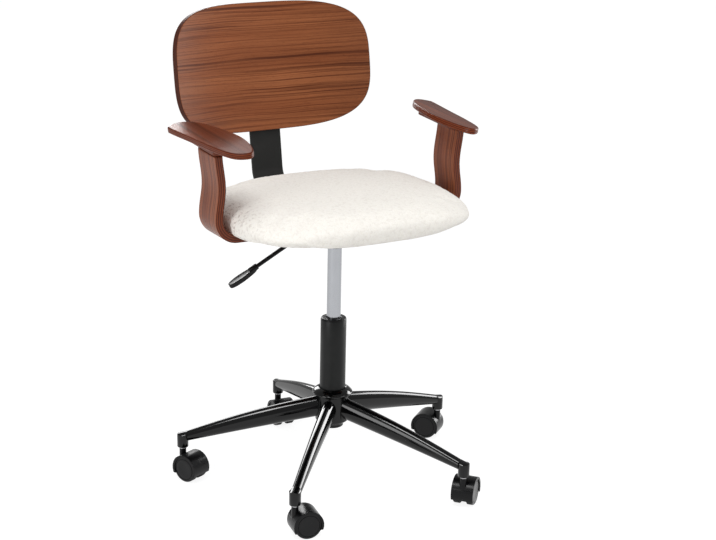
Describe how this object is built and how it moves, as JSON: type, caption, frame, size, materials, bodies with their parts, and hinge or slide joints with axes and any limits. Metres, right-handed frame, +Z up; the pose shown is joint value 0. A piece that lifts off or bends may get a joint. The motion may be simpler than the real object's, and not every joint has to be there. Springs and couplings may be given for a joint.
{
  "type": "desk chair",
  "caption": "Swivel desk chair with a curved walnut-veneer back, bent-ply arms, a padded ivory seat, a gas lift with a lever, and a black star base on casters.",
  "frame": {"origin": "middle of the base's footprint, on the floor", "axes": "+Z up, -Y towards the front of the chair, +X to the sitter's left"},
  "size_m": [0.6076, 0.619, 0.9037],
  "materials": {
    "walnut": "satin walnut veneer with long wavy grain",
    "lacquered_ply": "reddish brown lacquer on bent plywood, fairly glossy",
    "boucle": "pebbly ivory boucle cloth",
    "gloss_black": "gloss black coating on steel",
    "satin_black": "satin black coating on steel",
    "caster_black": "satin black moulded nylon",
    "black_plastic": "black moulded plastic",
    "chrome": "bright chrome plate",
    "steel": "plain zinc-plated steel",
    "plywood": "bare plywood",
    "dust_cloth": "thin black non-woven cloth"
  },
  "bodies": {
    "base": {"base_hub": "gloss_black", "base_leg_1": "gloss_black", "base_leg_2": "gloss_black", "base_leg_3": "gloss_black", "base_leg_4": "gloss_black", "base_leg_5": "gloss_black", "caster_socket_1": "gloss_black", "caster_socket_2": "gloss_black", "caster_socket_3": "gloss_black", "caster_socket_4": "gloss_black", "caster_socket_5": "gloss_black", "column_tube": "satin_black", "guide_bush": "black_plastic", "thrust_bearing": "steel"},
    "swivel": {"piston_rod": "steel", "rod_clip": "steel"},
    "seat": {"gas_cylinder": "chrome", "cylinder_gland": "black_plastic", "taper_socket": "satin_black", "lift_plate": "satin_black", "seat_board": "plywood", "seat_cushion": "boucle", "dust_cover": "dust_cloth", "back_bar": "satin_black", "backrest_shell": "walnut", "arm_support_left": "lacquered_ply", "arm_support_right": "lacquered_ply", "arm_plate_left": "lacquered_ply", "arm_plate_right": "lacquered_ply", "arm_pad_left": "lacquered_ply", "arm_pad_right": "lacquered_ply"},
    "lever": {"lever_rod": "black_plastic", "lever_paddle": "black_plastic"},
    "valve": {"valve_pin": "steel"},
    "caster_1": {"caster_hood_1": "caster_black", "caster_stem_1": "steel", "caster_axle_1": "steel"},
    "wheel_1a": {"caster_wheel_1a": "caster_black"},
    "wheel_1b": {"caster_wheel_1b": "caster_black"},
    "caster_2": {"caster_hood_2": "caster_black", "caster_stem_2": "steel", "caster_axle_2": "steel"},
    "wheel_2a": {"caster_wheel_2a": "caster_black"},
    "wheel_2b": {"caster_wheel_2b": "caster_black"},
    "caster_3": {"caster_hood_3": "caster_black", "caster_stem_3": "steel", "caster_axle_3": "steel"},
    "wheel_3a": {"caster_wheel_3a": "caster_black"},
    "wheel_3b": {"caster_wheel_3b": "caster_black"},
    "caster_4": {"caster_hood_4": "caster_black", "caster_stem_4": "steel", "caster_axle_4": "steel"},
    "wheel_4a": {"caster_wheel_4a": "caster_black"},
    "wheel_4b": {"caster_wheel_4b": "caster_black"},
    "caster_5": {"caster_hood_5": "caster_black", "caster_stem_5": "steel", "caster_axle_5": "steel"},
    "wheel_5a": {"caster_wheel_5a": "caster_black"},
    "wheel_5b": {"caster_wheel_5b": "caster_black"}
  },
  "joints": [
    {"name": "seat_swivel", "type": "hinge", "parent": "base", "child": "swivel", "pos_m": [-0.00897, -0.03026, 0.1085], "axis": [0, 0, 1], "continuous": true},
    {"name": "seat_lift", "type": "slide", "parent": "swivel", "child": "seat", "axis": [0, 0, 1], "range_m": [-0.12, 0]},
    {"name": "lever_pull", "type": "hinge", "parent": "seat", "child": "lever", "pos_m": [-0.05547, -0.03026, 0.5156], "axis": [0, 1, 0], "range_deg": [0, 3.2], "stiffness_Nm_per_rad": 4, "springref_deg": -2.86},
    {"name": "valve_press", "type": "slide", "parent": "seat", "child": "valve", "axis": [0, 0, 1], "range_m": [-0.003, 0]},
    {"name": "caster_swivel_1", "type": "hinge", "parent": "base", "child": "caster_1", "pos_m": [-0.2803, 0.09055, 0.0645], "axis": [0, 0, 1], "continuous": true},
    {"name": "wheel_spin_1a", "type": "hinge", "parent": "caster_1", "child": "wheel_1a", "pos_m": [-0.27176, 0.07136, 0.0265], "axis": [-0.9135, -0.4067, 0], "continuous": true},
    {"name": "wheel_spin_1b", "type": "hinge", "parent": "caster_1", "child": "wheel_1b", "pos_m": [-0.27176, 0.07136, 0.0265], "axis": [-0.9135, -0.4067, 0], "continuous": true},
    {"name": "caster_swivel_2", "type": "hinge", "parent": "base", "child": "caster_2", "pos_m": [-0.20771, -0.25097, 0.0645], "axis": [0, 0, 1], "continuous": true},
    {"name": "wheel_spin_2a", "type": "hinge", "parent": "caster_2", "child": "wheel_2a", "pos_m": [-0.18702, -0.25462, 0.0265], "axis": [-0.1736, -0.9848, 0], "continuous": true},
    {"name": "wheel_spin_2b", "type": "hinge", "parent": "caster_2", "child": "wheel_2b", "pos_m": [-0.18702, -0.25462, 0.0265], "axis": [-0.1736, -0.9848, 0], "continuous": true},
    {"name": "caster_swivel_3", "type": "hinge", "parent": "base", "child": "caster_3", "pos_m": [0.13953, -0.28747, 0.0645], "axis": [0, 0, 1], "continuous": true},
    {"name": "wheel_spin_3a", "type": "hinge", "parent": "caster_3", "child": "wheel_3a", "pos_m": [0.15538, -0.27369, 0.0265], "axis": [0.6561, -0.7547, 0], "continuous": true},
    {"name": "wheel_spin_3b", "type": "hinge", "parent": "caster_3", "child": "wheel_3b", "pos_m": [0.15538, -0.27369, 0.0265], "axis": [0.6561, -0.7547, 0], "continuous": true},
    {"name": "caster_swivel_4", "type": "hinge", "parent": "base", "child": "caster_4", "pos_m": [0.28154, 0.0315, 0.0645], "axis": [0, 0, 1], "continuous": true},
    {"name": "wheel_spin_4a", "type": "hinge", "parent": "caster_4", "child": "wheel_4a", "pos_m": [0.26812, 0.04765, 0.0265], "axis": [0.7694, 0.6388, 0], "continuous": true},
    {"name": "wheel_spin_4b", "type": "hinge", "parent": "caster_4", "child": "wheel_4b", "pos_m": [0.26812, 0.04765, 0.0265], "axis": [0.7694, 0.6388, 0], "continuous": true},
    {"name": "caster_swivel_5", "type": "hinge", "parent": "base", "child": "caster_5", "pos_m": [0.02207, 0.26512, 0.0645], "axis": [0, 0, 1], "continuous": true},
    {"name": "wheel_spin_5a", "type": "hinge", "parent": "caster_5", "child": "wheel_5a", "pos_m": [0.02068, 0.24416, 0.0265], "axis": [-0.9978, 0.0663, 0], "continuous": true},
    {"name": "wheel_spin_5b", "type": "hinge", "parent": "caster_5", "child": "wheel_5b", "pos_m": [0.02068, 0.24416, 0.0265], "axis": [-0.9978, 0.0663, 0], "continuous": true}
  ],
  "couplings": [
    {"joint": "valve_press", "follows": "lever_pull", "m_per_rad": -0.0465}
  ]
}
